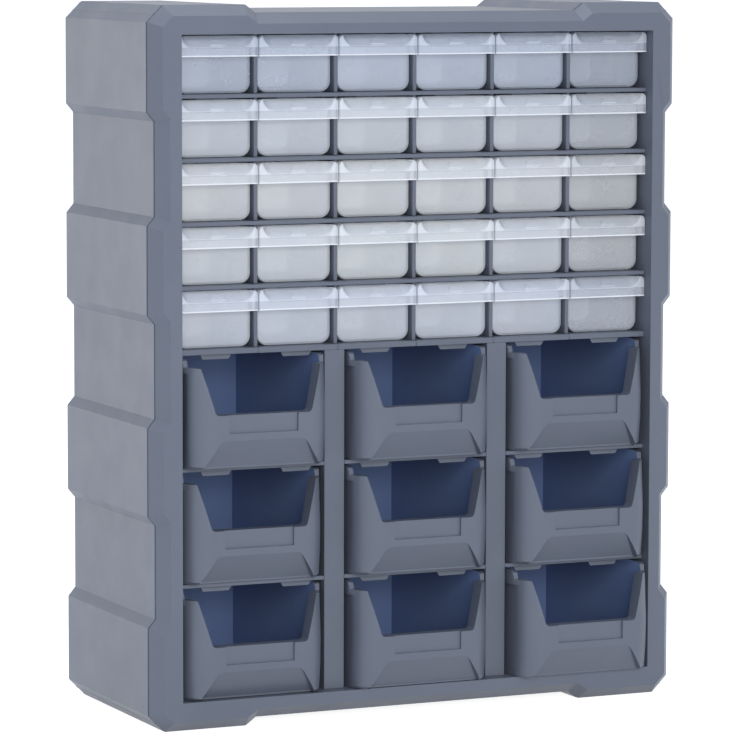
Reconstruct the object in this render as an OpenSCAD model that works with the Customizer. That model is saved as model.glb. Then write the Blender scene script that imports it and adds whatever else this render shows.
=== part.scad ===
// Wall or bench cabinet for small parts: thirty clear drawers over nine open-fronted bins.
// Millimetres. X runs left to right seen from the front, Y runs from front to back, Z is up.
// The origin is under the middle of the cabinet, on the surface it stands on.

/* [Casing] */
// Width of the casing, side to side
case_w = 380; // [376:1:384]
// Depth of the casing, front face to back
case_d = 160; // [158:1:170]
// Height of the casing, feet to top
case_h = 470; // [468:1:480]
// Wall thickness of the outer casing
wall = 2.5; // [2:0.1:2.6]
// Size of the 45 degree corner chamfer
corner = 11; // [9:0.5:12]
// How far the sides step in between the raised blocks
side_step = 5; // [3:0.5:5.5]
// Height of a raised block on the sides
side_block = 57.4; // [50:0.1:60]
// Height of the slope between a raised block and a recess
side_slope = 5.9; // [5:0.1:7]
// How far the top and underside step in between their raised ends
end_step = 5.2; // [3:0.1:6]
// Length of a raised end along the top, or of a foot, beyond the chamfer
end_block = 57; // [45:1:65]
// Length of the slope beside a raised end
end_slope = 7; // [5:0.5:10]

/* [Front frame] */
// Width of the side rails of the front frame
rail_w = 20; // [19:0.5:21]
// Height of the bottom rail of the front frame
base_rail = 19.8; // [19:0.1:20]
// Inset of the sloped band round the front face
band_in = 7; // [5:0.5:7.5]
// Depth of the sloped band, to the joint with the outer casing
band_d = 10; // [9:0.5:11]
// Depth to which the collar round the opening reaches
collar_d = 18; // [16:0.5:20]

/* [Grid] */
// Depth at which the shelves start behind the front face
grid_front = 9.5; // [9:0.1:10]
// Height of one drawer compartment
drawer_cell_h = 38.5; // [38:0.1:38.8]
// Height of one bin compartment
bin_cell_h = 73.2; // [73:0.1:73.5]
// Thickness of the shelves
shelf_t = 2.6; // [2.2:0.1:2.8]
// Thickness of the shelf between drawers and bins
main_t = 3.6; // [3:0.1:3.8]
// Thickness of the upright dividers between drawers
divider_t = 2.6; // [2.4:0.1:3.2]
// Width of the hollow posts between bins
post_w = 14.3; // [13:0.1:15]
// Height of the stop tabs under the shelves
tab_h = 3.3; // [3:0.1:3.5]
// Diameter of the four wall screw holes in the back
screw_d = 5; // [4:0.1:6]

/* [Drawers] */
// Wall thickness of a clear drawer
drawer_t = 1.2; // [1:0.1:1.4]
// Height to which a drawer's walls rise above the shelf
drawer_h = 36.5; // [36:0.1:37]
// Radius of a drawer's bottom corners
drawer_r = 7; // [5:0.5:8]
// Depth of a drawer's front wall behind the front face
drawer_front = 17.3; // [17:0.1:17.6]
// Height of the lower edge of a drawer's hood above the shelf
hood_z = 24; // [23:0.1:26]

/* [Bins] */
// Wall thickness of a bin
bin_t = 1.8; // [1.6:0.1:2]
// Length of a bin, front to back
bin_len = 160; // [150:1:160]
// Height to which a bin's sides rise above the shelf
bin_h = 71.5; // [71:0.1:72]
// How far a fully closed bin stands in front of the casing
bin_proud = 4; // [3.5:0.1:5]
// How far each bin is drawn out as shown, row by row from the top
bin_pull = [[8, 7, 2], [1, 6, 6.5], [2, 7, 12.5]];

/* [Hidden] */
$fn = 48;
slate = "#70778a";
deep_slate = "#66708a";
milky = [0.84, 0.86, 0.9, 0.6];
fit = 0.1;
rows = 5;
cols = 6;
open_w = case_w - 2 * rail_w;
pitch = open_w / cols;
post_x = (open_w - 2 * post_w) / 6 + post_w / 2;
bin_cell_w = (open_w - 2 * post_w) / 3;
bin_step = bin_cell_w + post_w;
main_z = base_rail + 3 * bin_cell_h + 2 * shelf_t;
drawers_z = main_z + main_t;
open_top = drawers_z + rows * drawer_cell_h + (rows - 1) * shelf_t;
liner_t = 2;
// Shadow groove left between the front frame and the outer casing
groove = 1.8;
back_d = case_d - wall;
mid_cut = (grid_front + back_d) / 2;
most_pull = max([for (row = bin_pull) max(row)]);
// Half way between the back and the bin that stands out most
mid_d = (case_d - bin_proud - most_pull) / 2;
divider_front = grid_front + 4;
drawer_w = pitch - divider_t - 2.45;
drawer_back = case_d - 6;
hood_w = pitch - 1.05;
hood_front = 8.8;
hood_wing = 13;
hood_top = drawer_cell_h - 1.2;
hood_fold = hood_z + 5.7;
scoop_a = atan((drawer_front - hood_front) / (hood_top - hood_fold));
scoop_w = 52.2;
scoop_r = 9;
bin_w = bin_cell_w - 7.6;
bin_r = 16;
bin_band = 1.7;
lip_h = 9.2;
ear_d = 17.5;
label_cut = 2.2;
bin_lift = 0.4;
shoulder_z = 66.1;
mouth_z = 35.8;
fold_z = 19.2;
lean = 2.6;
side_recess = (case_h - 2 * corner - 4 * side_block - 6 * side_slope) / 3;

root_nodes = ["front_frame", "outer_case", "back_panel", "side_liner_left", "side_liner_right",
    "top_liner", "bottom_liner", "main_shelf"];
shelf_nodes = concat([for (i = [1 : rows - 1]) str("drawer_shelf_", i)],
    [for (i = [1 : cols - 1]) str("drawer_divider_", i)],
    ["bin_post_left", "bin_post_right", "bin_shelf_upper", "bin_shelf_lower"]);

// Bottom of a drawer row, counted from the top, and of a bin row
function drawer_z(r) = drawers_z + (rows - r) * (drawer_cell_h + shelf_t);
function bin_z(r) = base_rail + (3 - r) * (bin_cell_h + shelf_t);
function drawer_x(c) = (c - (cols + 1) / 2) * pitch;

// The stepped outline of the casing is a core, a corner and a side block, drawn in by e all round
function turn(run, rise, e) = e * tan(atan(rise / run) / 2);
function core(e) = let (x = case_w / 2 - side_step - e, z = end_step + e)
    [[-x, z], [x, z], [x, case_h - z], [-x, case_h - z]];
function side_block_at(e) = let (k = turn(side_slope, side_step, e), x = case_w / 2 - e,
        z0 = corner + side_block + 2 * side_slope + side_recess, z1 = z0 + side_block)
    [[x - 2 * side_step, z0 - side_slope + k], [x - side_step, z0 - side_slope + k], [x, z0 + k],
    [x, z1 - k], [x - side_step, z1 + side_slope - k], [x - 2 * side_step, z1 + side_slope - k]];
function corner_block_at(e) = let (k = turn(side_slope, side_step, e), m = turn(end_slope, end_step, e),
        c = corner + e * (sqrt(2) - 1), x = case_w / 2, x1 = x - corner - end_block + m, z1 = corner + side_block - k)
    [[x1 - end_slope, end_step + e], [x1, e], [x - c, e], [x - e, c], [x - e, z1],
    [x - e - side_step, z1 + side_slope], [x1 - end_slope, z1 + side_slope]];

module outline(e) {
    polygon(core(e));
    for (mx = [0, 1], mz = [0, 1]) translate([0, mz * case_h]) mirror([mx, 0]) mirror([0, mz]) {
        polygon(side_block_at(e));
        polygon(corner_block_at(e));
    }
}

// Skin over rings that all have the same number of points
module loft(rings) {
    n = len(rings[0]);
    last = len(rings) - 1;
    polyhedron([for (ring = rings, p = ring) p],
        concat([[for (i = [0 : n - 1]) i]],
            [for (j = [0 : last - 1], i = [0 : n - 1])
                [j * n + i, (j + 1) * n + i, (j + 1) * n + (i + 1) % n, j * n + (i + 1) % n]],
            [[for (i = [n - 1 : -1 : 0]) last * n + i]]));
}

// Outline drawn in by e0 at depth d0 and by e1 at depth d1, with the slope between them
module outline_loft(d0, e0, d1, e1) {
    outline_part(core(e0), d0, core(e1), d1);
    for (mx = [0, 1], mz = [0, 1]) translate([0, 0, mz * case_h]) mirror([mx, 0, 0]) mirror([0, 0, mz]) {
        outline_part(side_block_at(e0), d0, side_block_at(e1), d1);
        outline_part(corner_block_at(e0), d0, corner_block_at(e1), d1);
    }
}

module outline_part(front, d0, back, d1)
    loft([[for (p = back) [p[0], d1 - mid_d, p[1]]], [for (p = front) [p[0], d0 - mid_d, p[1]]]]);

// A front view extruded from depth d0 back to depth d1
module along(d0, d1) translate([0, d1 - mid_d, 0]) rotate([90, 0, 0]) linear_extrude(d1 - d0) children();

module slab(x0, x1, d0, d1, z0, z1)
    translate([x0, d0 - mid_d, z0]) cube([x1 - x0, d1 - d0, z1 - z0]);

// Rectangle with its two lower corners rounded
module tub(w, z0, z1, r) {
    translate([-w / 2, z0 + r]) square([w, z1 - z0 - r]);
    translate([r - w / 2, z0]) square([w - 2 * r, 2 * r]);
    for (side = [-1, 1]) translate([side * (w / 2 - r), z0 + r]) circle(r);
}

module front_frame() color(slate) {
    x = open_w / 2;
    difference() {
        outline_loft(0, band_in, band_d, 0);
        slab(-x, x, -1, band_d + 1, base_rail, open_top);
        difference() {
            outline_loft(wall, band_in + wall, band_d + 0.5, wall - 0.4);
            slab(-x - wall, x + wall, 0, band_d + 2, base_rail - wall, open_top + wall);
        }
    }
    difference() {
        slab(-x - liner_t, x + liner_t, band_d - 2, collar_d, base_rail - liner_t, open_top + liner_t);
        slab(-x, x, -1, collar_d + 1, base_rail, open_top);
    }
    difference() {
        along(band_d - 3, collar_d) outline(wall + 0.3);
        along(band_d - 4, collar_d + 1) outline(wall + 1.9);
    }
}

module outer_case() color(slate) difference() {
    along(band_d + groove, back_d) outline(0);
    along(band_d, case_d) outline(wall);
}

module back_panel() color(slate) difference() {
    union() {
        along(back_d, case_d) outline(0.6);
        difference() {
            along(back_d - 6, back_d + 1) outline(wall + 0.3);
            along(back_d - 7, case_d) outline(wall + 1.9);
        }
    }
    for (c = [1, cols], z = [bin_z(3) + bin_cell_h / 2, drawer_z(1) + drawer_cell_h / 2])
        translate([drawer_x(c), back_d - mid_d - 1, z]) rotate([-90, 0, 0]) cylinder(d = screw_d, h = wall + 2);
    for (z = [bin_z(3), bin_z(1), drawer_z(3)], side = [-1, 1])
        slab(side * open_w / 4 - 60, side * open_w / 4 + 60, case_d - 0.8, case_d + 1, z + 62, z + 92);
}

module side_liner(side) color(deep_slate)
    slab(side * (open_w + liner_t) / 2 - liner_t / 2, side * (open_w + liner_t) / 2 + liner_t / 2,
        collar_d, back_d, base_rail, open_top);

module end_liner(z) color(deep_slate)
    slab(-open_w / 2 - liner_t, open_w / 2 + liner_t, collar_d, back_d, z, z + liner_t);

// Stop tabs under a shelf, one in the middle of each drawer column
module tabs(z, depth) for (c = [1 : cols]) translate([drawer_x(c), 0, 0])
    along(depth, depth + 1.6) polygon([[-11.15, z + 0.5], [-11.15, z], [-9.25, z - tab_h],
        [9.25, z - tab_h], [11.15, z], [11.15, z + 0.5]]);

module main_shelf() color(slate) {
    difference() {
        slab(-open_w / 2, open_w / 2, grid_front, back_d, main_z, drawers_z);
        for (c = [1 : cols - 1])
            slab(drawer_x(c + 0.5) - 0.3, drawer_x(c + 0.5) + 0.3, 0, grid_front + 0.5, main_z - 1, drawers_z + 1);
    }
    tabs(main_z, grid_front + 3.5);
}

// Shelf between drawer rows, slotted from the back where the dividers cross it
module drawer_shelf(i) color(slate) {
    z = drawer_z(i) - shelf_t;
    difference() {
        slab(-open_w / 2, open_w / 2, grid_front, back_d, z, z + shelf_t);
        for (c = [1 : cols - 1]) translate([drawer_x(c + 0.5), 0, 0])
            slab(-divider_t / 2 - fit, divider_t / 2 + fit, mid_cut, back_d + 1, z - 1, z + shelf_t + 1);
    }
    tabs(z, drawer_front + 2.5);
}

// Upright between drawer columns, slotted from the front where the shelves cross it
module drawer_divider(i) color(slate) translate([drawer_x(i + 0.5), 0, 0]) difference() {
    slab(-divider_t / 2, divider_t / 2, divider_front, back_d, drawers_z, open_top);
    for (r = [1 : rows - 1])
        slab(-divider_t, divider_t, 0, mid_cut - fit, drawer_z(r) - shelf_t - fit, drawer_z(r) + fit);
}

// Hollow post between bin columns, open at the back and slotted there for the bin shelves
module bin_post(side) color(slate) translate([side * post_x, 0, 0]) difference() {
    slab(-post_w / 2, post_w / 2, grid_front, back_d, base_rail, main_z);
    slab(-post_w / 2 + 2, post_w / 2 - 2, grid_front + 2, back_d + 1, base_rail - 1, main_z + 1);
    for (r = [1, 2])
        slab(-post_w, post_w, mid_cut, back_d + 1, bin_z(r) - shelf_t - fit, bin_z(r) + fit);
}

// Shelf between bin rows, slotted from the front where the posts cross it
module bin_shelf(r) color(slate) {
    z = bin_z(r) - shelf_t;
    difference() {
        slab(-open_w / 2, open_w / 2, grid_front, back_d, z, z + shelf_t);
        for (side = [-1, 1]) translate([side * post_x, 0, 0])
            slab(-post_w / 2 - fit, post_w / 2 + fit, 0, mid_cut + fit, z - 1, z + shelf_t + 1);
    }
    tabs(z, grid_front + 3.5);
}

// Frame that lies on the sloped scoop of a hood: X across, Y into the slope, Z up along it
module on_scoop() translate([0, hood_front - mid_d, hood_fold]) rotate([-scoop_a, 0, 0]) children();

// Space scooped out of the hood, drawn in by e
module scoop(e) on_scoop() translate([0, e, -20]) linear_extrude(50) mirror([0, 1])
    tub(scoop_w + 2 * e, 0, 30, scoop_r + e);

// Front view of the hood with its top corners rounded, drawn in by e and lowered to z0
module hood_face(w, e, z0) intersection() {
    mirror([0, 1]) tub(w - 2 * e, e - hood_top, -z0, 3 - e);
    translate([-w, z0]) square([2 * w, hood_top]);
}

module hood() {
    difference() {
        union() {
            along(hood_front, hood_wing) hood_face(hood_w, 0, hood_z);
            along(hood_wing - 0.5, drawer_front + drawer_t) hood_face(drawer_w, 0, hood_z);
        }
        scoop(0);
        difference() {
            union() {
                along(hood_front + drawer_t, hood_wing - drawer_t) hood_face(hood_w, drawer_t, hood_z - 5);
                along(hood_wing - drawer_t - 0.5, drawer_front) hood_face(drawer_w, drawer_t, hood_z - 5);
            }
            scoop(drawer_t);
        }
    }
    on_scoop() translate([0, 0.4, 0]) rotate([90, 0, 0]) linear_extrude(1.5)
        polygon([[-5.3, 1.6], [5.3, 1.6], [2.5, 6.4], [-2.5, 6.4]]);
}

// Clear drawer: a rounded tub with a cross wall, hung behind a scooped hood
module drawer(r, c) color(milky) translate([drawer_x(c), 0, drawer_z(r)]) {
    difference() {
        along(drawer_front, drawer_back) tub(drawer_w, bin_lift, drawer_h, drawer_r);
        along(drawer_front + drawer_t, drawer_back - drawer_t)
            tub(drawer_w - 2 * drawer_t, bin_lift + drawer_t, drawer_h + 5, drawer_r - drawer_t);
    }
    along(mid_cut, mid_cut + drawer_t) tub(drawer_w - drawer_t, bin_lift + 0.5, drawer_h - 2.5, drawer_r - 1);
    hood();
}

// Plan of a bin at one height: front corners rounded by r, square at the back
function bin_ring(e, front, r, z) = let (w = bin_w / 2 - e) concat(
    [for (a = [0 : 11.25 : 90]) [r - w - r * cos(a), front + e + r - r * sin(a), z]],
    [for (a = [90 : -11.25 : 0]) [w - r + r * cos(a), front + e + r - r * sin(a), z]],
    [[w, bin_len - e, z], [-w, bin_len - e, z]]);

// Solid of a bin's outside, drawn in by e, from the height z0 to z1
module bin_form(e, z0, z1)
    loft([for (level = [[6, z0], [2.2, z0 + 2], [0.4, fold_z], [0, mouth_z], [lean, z1]])
        bin_ring(e, level[0], bin_r - e, level[1])]);

// Side view extruded across the whole bin
module through() translate([-60, 0, 0]) rotate([90, 0, 90]) linear_extrude(120) children();

// Front view of the mouth, spread by e
module mouth(e) hull() {
    for (side = [-1, 1]) translate([side * 31, mouth_z + 3]) circle(3 + e, $fn = 32);
    for (side = [-1, 1]) translate([side * 42.6 - 3, bin_h + 8]) square([6 + e, 1]);
}

// Front view of the finger pocket, spread by e
module pocket_face(e) polygon([[-42.5 - e, bin_lift - 2], [42.5 + e, bin_lift - 2],
    [31 + e, fold_z - 3], [28.5 + e, fold_z - 0.6 + e], [26 + e, fold_z + e],
    [-26 - e, fold_z + e], [-28.5 - e, fold_z - 0.6 + e], [-31 - e, fold_z - 3]]);

// Side view of the finger pocket, set back by e
module pocket_side(e) polygon([[-5, bin_lift - 2], [12 + e, bin_lift - 2], [12 + e, 1.4 + e],
    [0.5 + e, fold_z + e], [-5, fold_z + e]]);

module pocket(e) intersection() {
    translate([0, 20, 0]) rotate([90, 0, 0]) linear_extrude(30) pocket_face(e);
    through() pocket_side(e);
}

// Flange that turns in round the mouth, left standing by the hollow
module mouth_rim() intersection() {
    translate([0, 30, 0]) rotate([90, 0, 0]) linear_extrude(40) mouth(bin_t);
    through() polygon([[-1, mouth_z - 4], [10.3, mouth_z - 4], [10.3, mouth_z],
        [ear_d, shoulder_z], [-1, shoulder_z]]);
}

// Lip along the top of a side wall, narrowed at its front end
module lip() translate([bin_w / 2 - bin_band, 0, bin_h - lip_h]) hull() {
    translate([0, ear_d + 1.5, 0]) cube([2 * bin_band, bin_len - ear_d - 1.5, lip_h]);
    translate([0, ear_d - 4, 0]) cube([bin_band - 0.6, 1, lip_h]);
}

module bin(r, c) color(slate)
translate([(c - 2) * bin_step, -bin_proud - bin_pull[r - 1][c - 1] - mid_d, bin_z(r)]) difference() {
    union() {
        bin_form(0, bin_lift, bin_h);
        lip();
        mirror([1, 0, 0]) lip();
    }
    translate([0, 20, 0]) rotate([90, 0, 0]) linear_extrude(30) mouth(0);
    translate([-24.1, -1, 23.9]) cube([48.2, 1 + label_cut, mouth_z]);
    pocket(0);
    through() polygon([[-1, shoulder_z], [ear_d, shoulder_z], [ear_d, bin_h - 4], [ear_d + 1.2, bin_h - 1.2],
        [ear_d + 4, bin_h], [ear_d + 4, bin_h + 2], [-1, bin_h + 2]]);
    difference() {
        bin_form(bin_t, bin_lift + bin_t, bin_h + 1);
        pocket(bin_t);
        translate([-26, -1, 22]) cube([52, 1 + label_cut + bin_t, mouth_z - 22]);
        mouth_rim();
        for (side = [-1, 1]) translate([side * 46 - 5, 0, shoulder_z - bin_t]) cube([10, ear_d, bin_t]);
    }
}

front_frame();
outer_case();
back_panel();
side_liner(-1);  // side_liner_left
side_liner(1);  // side_liner_right
end_liner(open_top);  // top_liner
end_liner(base_rail - liner_t);  // bottom_liner
main_shelf();
for (i = [1 : rows - 1]) drawer_shelf(i);
for (i = [1 : cols - 1]) drawer_divider(i);
bin_post(-1);  // bin_post_left
bin_post(1);  // bin_post_right
bin_shelf(1);  // bin_shelf_upper
bin_shelf(2);  // bin_shelf_lower
for (r = [1 : rows], c = [1 : cols]) drawer(r, c);
for (r = [1 : 3], c = [1 : 3]) bin(r, c);
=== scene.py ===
import bpy, math
from mathutils import Vector, Matrix


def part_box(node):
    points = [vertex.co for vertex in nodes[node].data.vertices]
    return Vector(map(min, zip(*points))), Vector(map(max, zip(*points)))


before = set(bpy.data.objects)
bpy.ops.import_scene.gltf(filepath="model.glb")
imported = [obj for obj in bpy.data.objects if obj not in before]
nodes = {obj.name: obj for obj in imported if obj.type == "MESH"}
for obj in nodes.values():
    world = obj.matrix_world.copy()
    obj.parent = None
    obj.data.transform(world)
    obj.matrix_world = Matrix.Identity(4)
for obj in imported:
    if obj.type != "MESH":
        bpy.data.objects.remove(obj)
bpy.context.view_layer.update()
print("frame loaded:", len(nodes), "nodes")

# camera, solved from the casing's edges in the photograph; angles in degrees, lens and sensor in mm
cameraLook = {
    "place": (-1.17327, -2.56036, 0.52089),
    "turn": 24.4963, "tip": 6.0170, "roll": 0.1436,
    "lens": 205.58, "sensor": 36,
    "near": 0.1, "far": 60,
}

def placeCamera(look):
    data = bpy.data.cameras.new("photoCamera")
    data.lens = look["lens"]
    data.sensor_width = look["sensor"]
    data.clip_start, data.clip_end = look["near"], look["far"]
    camera = bpy.data.objects.new("photoCamera", data)
    bpy.context.scene.collection.objects.link(camera)
    turn, tip, roll = (math.radians(look[angle]) for angle in ("turn", "tip", "roll"))
    forward = Vector((math.sin(turn) * math.cos(tip), math.cos(turn) * math.cos(tip), -math.sin(tip)))
    right = Vector((math.cos(turn), -math.sin(turn), 0))
    up = right.cross(forward)
    rightRolled = right * math.cos(roll) + up * math.sin(roll)
    upRolled = up * math.cos(roll) - right * math.sin(roll)
    facing = Matrix((rightRolled, upRolled, -forward)).transposed().to_4x4()
    camera.matrix_world = Matrix.Translation(look["place"]) @ facing
    bpy.context.scene.camera = camera

placeCamera(cameraLook)
print("camera placed")

# the part of a noise's range that nearly all of its values lie in
noiseRange = (0.3, 0.7)

def newMaterial(name):
    material = bpy.data.materials.new(name)
    material.use_nodes = True
    tree = material.node_tree
    tree.nodes.clear()
    out = tree.nodes.new("ShaderNodeOutputMaterial")
    shader = tree.nodes.new("ShaderNodeBsdfPrincipled")
    tree.links.new(shader.outputs["BSDF"], out.inputs["Surface"])
    return material, tree, shader

# a piece's own coordinates, whole and split into X, Y and Z
def pieceSpace(tree):
    place = tree.nodes.new("ShaderNodeTexCoord")
    split = tree.nodes.new("ShaderNodeSeparateXYZ")
    tree.links.new(place.outputs["Object"], split.inputs["Vector"])
    return place.outputs, split.outputs

def noiseAt(tree, scale, detail, roughness):
    place = tree.nodes.new("ShaderNodeTexCoord")
    noise = tree.nodes.new("ShaderNodeTexNoise")
    noise.inputs["Scale"].default_value = scale
    noise.inputs["Detail"].default_value = detail
    noise.inputs["Roughness"].default_value = roughness
    tree.links.new(place.outputs["Object"], noise.inputs["Vector"])
    return noise.outputs["Fac"]

# a number that runs from low to high over a noise's usual range
def spread(tree, noise, low, high):
    ramp = tree.nodes.new("ShaderNodeMapRange")
    ramp.inputs["From Min"].default_value, ramp.inputs["From Max"].default_value = noiseRange
    ramp.inputs["To Min"].default_value = low
    ramp.inputs["To Max"].default_value = high
    tree.links.new(noise, ramp.inputs["Value"])
    return ramp.outputs["Result"]

# a number that runs from 0 to 1 while the source runs over the span, which is measured from the origin
def rampOver(tree, source, span, origin=0):
    ramp = tree.nodes.new("ShaderNodeMapRange")
    ramp.interpolation_type = "SMOOTHSTEP"
    ramp.inputs["From Min"].default_value = origin + span[0]
    ramp.inputs["From Max"].default_value = origin + span[1]
    tree.links.new(source, ramp.inputs["Value"])
    return ramp.outputs["Result"]

def combine(tree, operation, first, second):
    node = tree.nodes.new("ShaderNodeMath")
    node.operation = operation
    tree.links.new(first, node.inputs[0])
    if isinstance(second, float):
        node.inputs[1].default_value = second
    else:
        tree.links.new(second, node.inputs[1])
    return node.outputs[0]

# the first level where the factor is 0 and the second where it is 1
def blendLevels(tree, factor, first, second):
    level = tree.nodes.new("ShaderNodeMapRange")
    tree.links.new(factor, level.inputs["Value"])
    for side, value in (("To Min", first), ("To Max", second)):
        if isinstance(value, float):
            level.inputs[side].default_value = value
        else:
            tree.links.new(value, level.inputs[side])
    return level.outputs["Result"]

# the same for colours
def mixColours(tree, factor, first, second):
    mix = tree.nodes.new("ShaderNodeMix")
    mix.data_type = "RGBA"
    tree.links.new(factor, mix.inputs["Factor"])
    for side, value in (("A", first), ("B", second)):
        if isinstance(value, tuple):
            mix.inputs[side].default_value = (*value, 1)
        else:
            tree.links.new(value, mix.inputs[side])
    return mix.outputs["Result"]

def bumpFrom(tree, noise, strength, distance):
    bump = tree.nodes.new("ShaderNodeBump")
    bump.inputs["Strength"].default_value = strength
    bump.inputs["Distance"].default_value = distance
    tree.links.new(noise, bump.inputs["Height"])
    return bump

# 1 for the named kinds of ray and 0 for all others
def seenBy(tree, *kinds):
    rays = tree.nodes.new("ShaderNodeLightPath").outputs
    seen = rays[f"Is {kinds[0]} Ray"]
    for kind in kinds[1:]:
        seen = combine(tree, "MAXIMUM", seen, rays[f"Is {kind} Ray"])
    return seen

# slate-grey moulded plastic with the fine grain of a spark-eroded mould
# cloud, patch, grain and flow are noises (scale, detail, roughness), bumps are (strength, metres)
slateLook = {
    "dark": (0.121, 0.137, 0.173), "light": (0.135, 0.153, 0.192),
    "rough": (0.40, 0.50), "specular": 0.45,
    "cloud": (9, 4, 0.6), "patch": (38, 5, 0.62),
    "grain": (1400, 2, 0.5), "grainBump": (0.035, 0.0006),
    "flow": (30, 2, 0.4), "flowBump": (0.05, 0.004),
}

def slatePlastic(name, look, shade=1.0):
    material, tree, shader = newMaterial(name)
    dark, light = (tuple(c * shade for c in look[tone]) for tone in ("dark", "light"))
    cloud = spread(tree, noiseAt(tree, *look["cloud"]), 0, 1)
    colour = mixColours(tree, cloud, dark, light)
    tree.links.new(colour, shader.inputs["Base Color"])
    roughness = spread(tree, noiseAt(tree, *look["patch"]), *look["rough"])
    tree.links.new(roughness, shader.inputs["Roughness"])
    shader.inputs["Specular IOR Level"].default_value = look["specular"]
    fine = bumpFrom(tree, noiseAt(tree, *look["grain"]), *look["grainBump"])
    wavy = bumpFrom(tree, noiseAt(tree, *look["flow"]), *look["flowBump"])
    tree.links.new(fine.outputs["Normal"], wavy.inputs["Normal"])
    tree.links.new(wavy.outputs["Normal"], shader.inputs["Normal"])
    return material, tree, shader, colour

# a bin's inside faces get painted shade, a lighter and bluer colour that stands in for the light and bluish shade
# inside the cavity; shade makes the whole bin's slate 3 percent darker than the casing's
# height and length give the middle that inside faces look at, rim and turn are blends in metres
binLook = {
    "shade": 0.97, "inside": (0.175, 0.250, 0.465),
    "height": 0.036, "length": 0.16,
    "rim": (0.0155, 0.0195), "turn": (0.002, -0.006),
}

def binPlastic(node, look):
    material, tree, shader, colour = slatePlastic(node + "Plastic", slateLook, look["shade"])
    low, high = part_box(node)
    middle = ((low.x + high.x) / 2, low.y + look["length"] / 2, low.z + look["height"])
    place, axes = pieceSpace(tree)
    away = tree.nodes.new("ShaderNodeVectorMath")
    away.operation = "SUBTRACT"
    away.inputs[1].default_value = middle
    tree.links.new(place["Object"], away.inputs[0])
    facing = tree.nodes.new("ShaderNodeVectorMath")
    facing.operation = "DOT_PRODUCT"
    tree.links.new(away.outputs["Vector"], facing.inputs[0])
    tree.links.new(place["Normal"], facing.inputs[1])
    behindRim = rampOver(tree, axes["Y"], look["rim"], low.y)
    turnedIn = rampOver(tree, facing.outputs["Value"], look["turn"])
    # inward faces behind the rim take the painted shade colour
    paintedShadeMask = combine(tree, "MULTIPLY", turnedIn, behindRim)
    tree.links.new(mixColours(tree, paintedShadeMask, colour, look["inside"]), shader.inputs["Base Color"])
    return material

# milky clear plastic of the small drawers: clearest in the front wall and the hood's upright band,
# with a painted highlight, whiter and more opaque, along the band's hem and foremost ridge
# heights are measured from hoodTop below the drawer's top, depths from its foremost point
milkyLook = {
    "dark": (0.88, 0.925, 0.98), "light": (0.93, 0.955, 0.995),
    "edge": (0.97, 0.98, 1.0), "highlightAlpha": 0.66,
    "frontAlpha": (0.28, 0.33), "hoodAlpha": (0.26, 0.31),
    "scoopAlpha": (0.46, 0.52), "insideAlpha": (0.72, 0.80),
    "rough": (0.24, 0.34), "specular": 0.5, "coat": 0.15, "coatRough": 0.12,
    "hoodTop": 0.0373,
    "hemStart": (0.0235, 0.024), "hemEnd": (0.025, 0.0245), "fold": (0.0297, 0.0302),
    "ridgeStart": (0.00012, 0.00024), "ridgeEnd": (0.0007, 0.00049),
    "wing": (0.0042, 0.00252), "wall": (0.0101, 0.0107),
    "cloud": (24, 4, 0.6), "haze": (11, 3, 0.55), "patch": (60, 4, 0.6),
    "flow": (55, 3, 0.5), "flowBump": (0.05, 0.002),
    # the per-row tints and per-column shades are painted light and shade: darker and bluer in the top row, darker
    # in the sixth column, a little lighter towards the middle
    "rowPaintedShade": ((0.84, 0.88, 0.95), (0.98, 0.99, 1.0), (1.04, 1.03, 1.01), (1.02, 1.02, 1.01), (0.96, 0.97, 1.0)),
    "columnShade": (0.98, 1.0, 1.02, 1.02, 0.98, 0.86),
}

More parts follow.
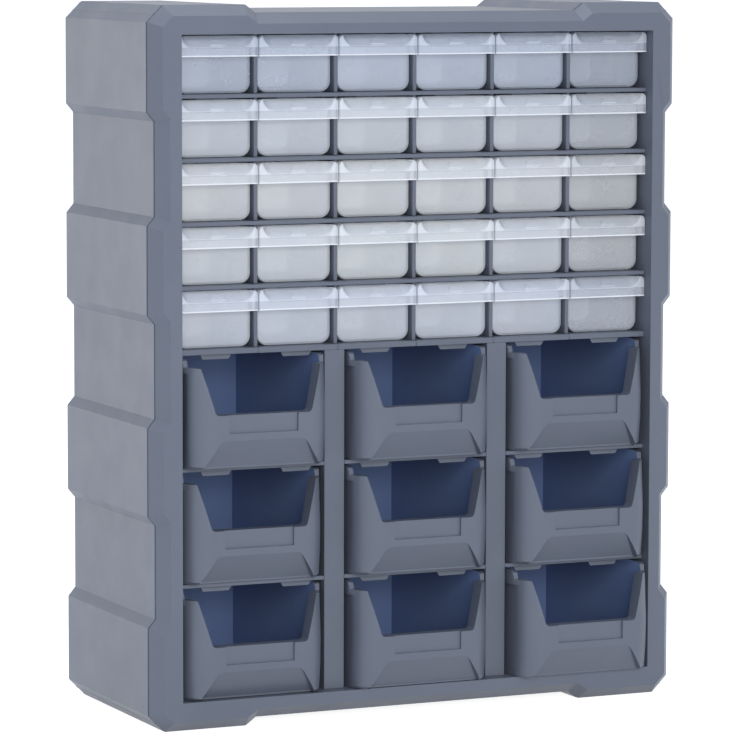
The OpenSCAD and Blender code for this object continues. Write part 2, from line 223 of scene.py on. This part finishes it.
def milkyPlastic(node, look, row, column):
    material, tree, shader = newMaterial(node + "Plastic")
    # painted shade by row and column
    shade = [tint * look["columnShade"][column - 1] for tint in look["rowPaintedShade"][row - 1]]
    dark, light = (tuple(min(1, c * s) for c, s in zip(look[tone], shade)) for tone in ("dark", "light"))
    low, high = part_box(node)
    hoodZ = high.z - look["hoodTop"]
    axes = pieceSpace(tree)[1]

    aboveHem = rampOver(tree, axes["Z"], look["hemStart"], hoodZ)
    onHem = combine(tree, "MULTIPLY", aboveHem, rampOver(tree, axes["Z"], look["hemEnd"], hoodZ))
    hemHighlight = combine(tree, "MULTIPLY", onHem, rampOver(tree, axes["Y"], look["wing"], low.y))
    ridgeHighlight = combine(tree, "MULTIPLY", rampOver(tree, axes["Y"], look["ridgeStart"], low.y),
        rampOver(tree, axes["Y"], look["ridgeEnd"], low.y))
    # edge is the painted highlight mask: the hem and the foremost ridge turn whiter and more opaque
    edge = combine(tree, "MAXIMUM", hemHighlight, combine(tree, "MULTIPLY", ridgeHighlight, aboveHem))
    cloud = spread(tree, noiseAt(tree, *look["cloud"]), 0, 1)
    body = mixColours(tree, cloud, dark, light)
    tree.links.new(mixColours(tree, edge, body, look["edge"]), shader.inputs["Base Color"])

    haze = noiseAt(tree, *look["haze"])
    front, hood, scoop, inside = (spread(tree, haze, *look[zone])
        for zone in ("frontAlpha", "hoodAlpha", "scoopAlpha", "insideAlpha"))
    aboveFold = rampOver(tree, axes["Z"], look["fold"], hoodZ)
    behindFront = rampOver(tree, axes["Y"], look["wall"], low.y)
    outside = blendLevels(tree, aboveHem, front, blendLevels(tree, aboveFold, hood, scoop))
    layers = blendLevels(tree, behindFront, outside, inside)
    tree.links.new(blendLevels(tree, edge, layers, look["highlightAlpha"]), shader.inputs["Alpha"])

    roughness = spread(tree, noiseAt(tree, *look["patch"]), *look["rough"])
    tree.links.new(roughness, shader.inputs["Roughness"])
    shader.inputs["Specular IOR Level"].default_value = look["specular"]
    shader.inputs["Coat Weight"].default_value = look["coat"]
    shader.inputs["Coat Roughness"].default_value = look["coatRough"]
    wavy = bumpFrom(tree, noiseAt(tree, *look["flow"]), *look["flowBump"])
    tree.links.new(wavy.outputs["Normal"], shader.inputs["Normal"])
    return material

finishes = {
    "casing": slatePlastic("casingPlastic", slateLook)[0],
    # the rack's shelves and dividers: the casing's slate made 6 percent darker, painted shade on the recessed rack
    "grid": slatePlastic("gridPlastic", slateLook, 0.94)[0],
}
print("shared materials made:", ", ".join(finishes))

# finish and edge rounding of every moulded piece, in metres; the back panel keeps flat shading
pieceLooks = {
    "front_frame": {"finish": "casing", "edge": 0.0013, "steps": 3},
    "outer_case": {"finish": "casing", "edge": 0.0012, "steps": 3},
    "back_panel": {"finish": "casing", "edge": 0.0006, "steps": 2, "smooth": False},
    "drawer": {"finish": "drawer", "edge": 0.0004, "steps": 2},
    "bin": {"finish": "bin", "edge": 0.0007, "steps": 2},
    "grid": {"finish": "grid", "edge": 0.0004, "steps": 2},
}
edgeLook = {"weld": 0.00002, "sharperThan": 28, "normalWeight": 90}

def lookOf(name):
    if name in pieceLooks:
        return pieceLooks[name]
    if name.startswith("drawer_r"):
        return pieceLooks["drawer"]
    if name.startswith("bin_r"):
        return pieceLooks["bin"]
    return pieceLooks["grid"]

# drawers are named drawer_rRcC, after their row and column
def finishOf(name, finish):
    if finish == "drawer":
        row, column = name.removeprefix("drawer_r").split("c")
        return milkyPlastic(name, milkyLook, int(row), int(column))
    if finish == "bin":
        return binPlastic(name, binLook)
    return finishes[finish]

def dress(name, piece, look):
    mesh = piece.data
    smooth = look.get("smooth", True)
    mesh.materials.clear()
    mesh.materials.append(finishOf(name, look["finish"]))
    if mesh.attributes.get("custom_normal"):
        mesh.attributes.remove(mesh.attributes["custom_normal"])
    mesh.polygons.foreach_set("use_smooth", [smooth] * len(mesh.polygons))
    weld = piece.modifiers.new("weld", "WELD")
    weld.merge_threshold = edgeLook["weld"]
    bevel = piece.modifiers.new("edges", "BEVEL")
    bevel.width = look["edge"]
    bevel.segments = look["steps"]
    bevel.limit_method = "ANGLE"
    bevel.angle_limit = math.radians(edgeLook["sharperThan"])
    bevel.miter_outer = "MITER_ARC"
    if smooth:
        normals = piece.modifiers.new("evenNormals", "WEIGHTED_NORMAL")
        normals.weight = edgeLook["normalWeight"]
        normals.keep_sharp = False

for name, piece in nodes.items():
    dress(name, piece, lookOf(name))
print("pieces dressed")

# pale floor and even studio light; floorLift is its own light, shadow the tint of the world's
studio = {
    "floor": 0.66, "floorLift": 0.88, "floorRough": 0.9, "floorSpecular": 0.1,
    "floorSize": 120, "floorHeight": -0.0002,
    "world": 0.38, "shadow": (0.72, 0.93, 1.32),
}
softboxes = {
    "leftSoftbox": {"place": (-2.1, 2.0, 0.2), "aim": (0, 0.05, 0.2), "size": (1.4, 1.6),
                    "power": 34, "colour": (1.0, 0.965, 0.90)},
    "topSoftbox": {"place": (-0.3, 0.2, 2.5), "aim": (0, 0, 0.3), "size": (2.0, 1.6),
                   "power": 25, "colour": (1, 1, 1)},
    "frontSoftbox": {"place": (-0.7, -3.0, 0.9), "aim": (0, 0, 0.22), "size": (1.8, 1.4),
                     "power": 68, "colour": (1.0, 0.97, 0.925), "inGloss": False},
}

def makeFloor(look):
    bpy.ops.mesh.primitive_plane_add(size=look["floorSize"], location=(0, 0, look["floorHeight"]))
    floor = bpy.context.object
    floor.name = "floor"
    material, tree, shader = newMaterial("floorPaper")
    shader.inputs["Base Color"].default_value = (look["floor"],) * 3 + (1,)
    shader.inputs["Roughness"].default_value = look["floorRough"]
    shader.inputs["Specular IOR Level"].default_value = look["floorSpecular"]
    shader.inputs["Emission Color"].default_value = (1, 1, 1, 1)
    shown = seenBy(tree, "Camera", "Transmission", "Glossy")
    lift = combine(tree, "MULTIPLY", shown, look["floorLift"])
    tree.links.new(lift, shader.inputs["Emission Strength"])
    floor.data.materials.append(material)

def makeWorld(look):
    world = bpy.data.worlds.new("studio")
    world.use_nodes = True
    bpy.context.scene.world = world
    tree = world.node_tree
    tree.nodes.clear()
    out = tree.nodes.new("ShaderNodeOutputWorld")
    background = tree.nodes.new("ShaderNodeBackground")
    seen = seenBy(tree, "Camera", "Glossy")
    tree.links.new(mixColours(tree, seen, look["shadow"], (1, 1, 1)), background.inputs["Color"])
    tree.links.new(blendLevels(tree, seen, look["world"], 1.0), background.inputs["Strength"])
    tree.links.new(background.outputs["Background"], out.inputs["Surface"])

def hangSoftbox(name, look):
    data = bpy.data.lights.new(name, "AREA")
    data.shape = "RECTANGLE"
    data.size, data.size_y = look["size"]
    data.energy = look["power"]
    data.color = look["colour"]
    lamp = bpy.data.objects.new(name, data)
    bpy.context.scene.collection.objects.link(lamp)
    lamp.location = look["place"]
    lamp.visible_glossy = look.get("inGloss", True)
    lamp.rotation_euler = (Vector(look["aim"]) - Vector(look["place"])).to_track_quat("-Z", "Y").to_euler()

makeFloor(studio)
makeWorld(studio)
for name, look in softboxes.items():
    hangSoftbox(name, look)
bpy.context.scene.view_settings.view_transform = "Standard"
print("studio lit")
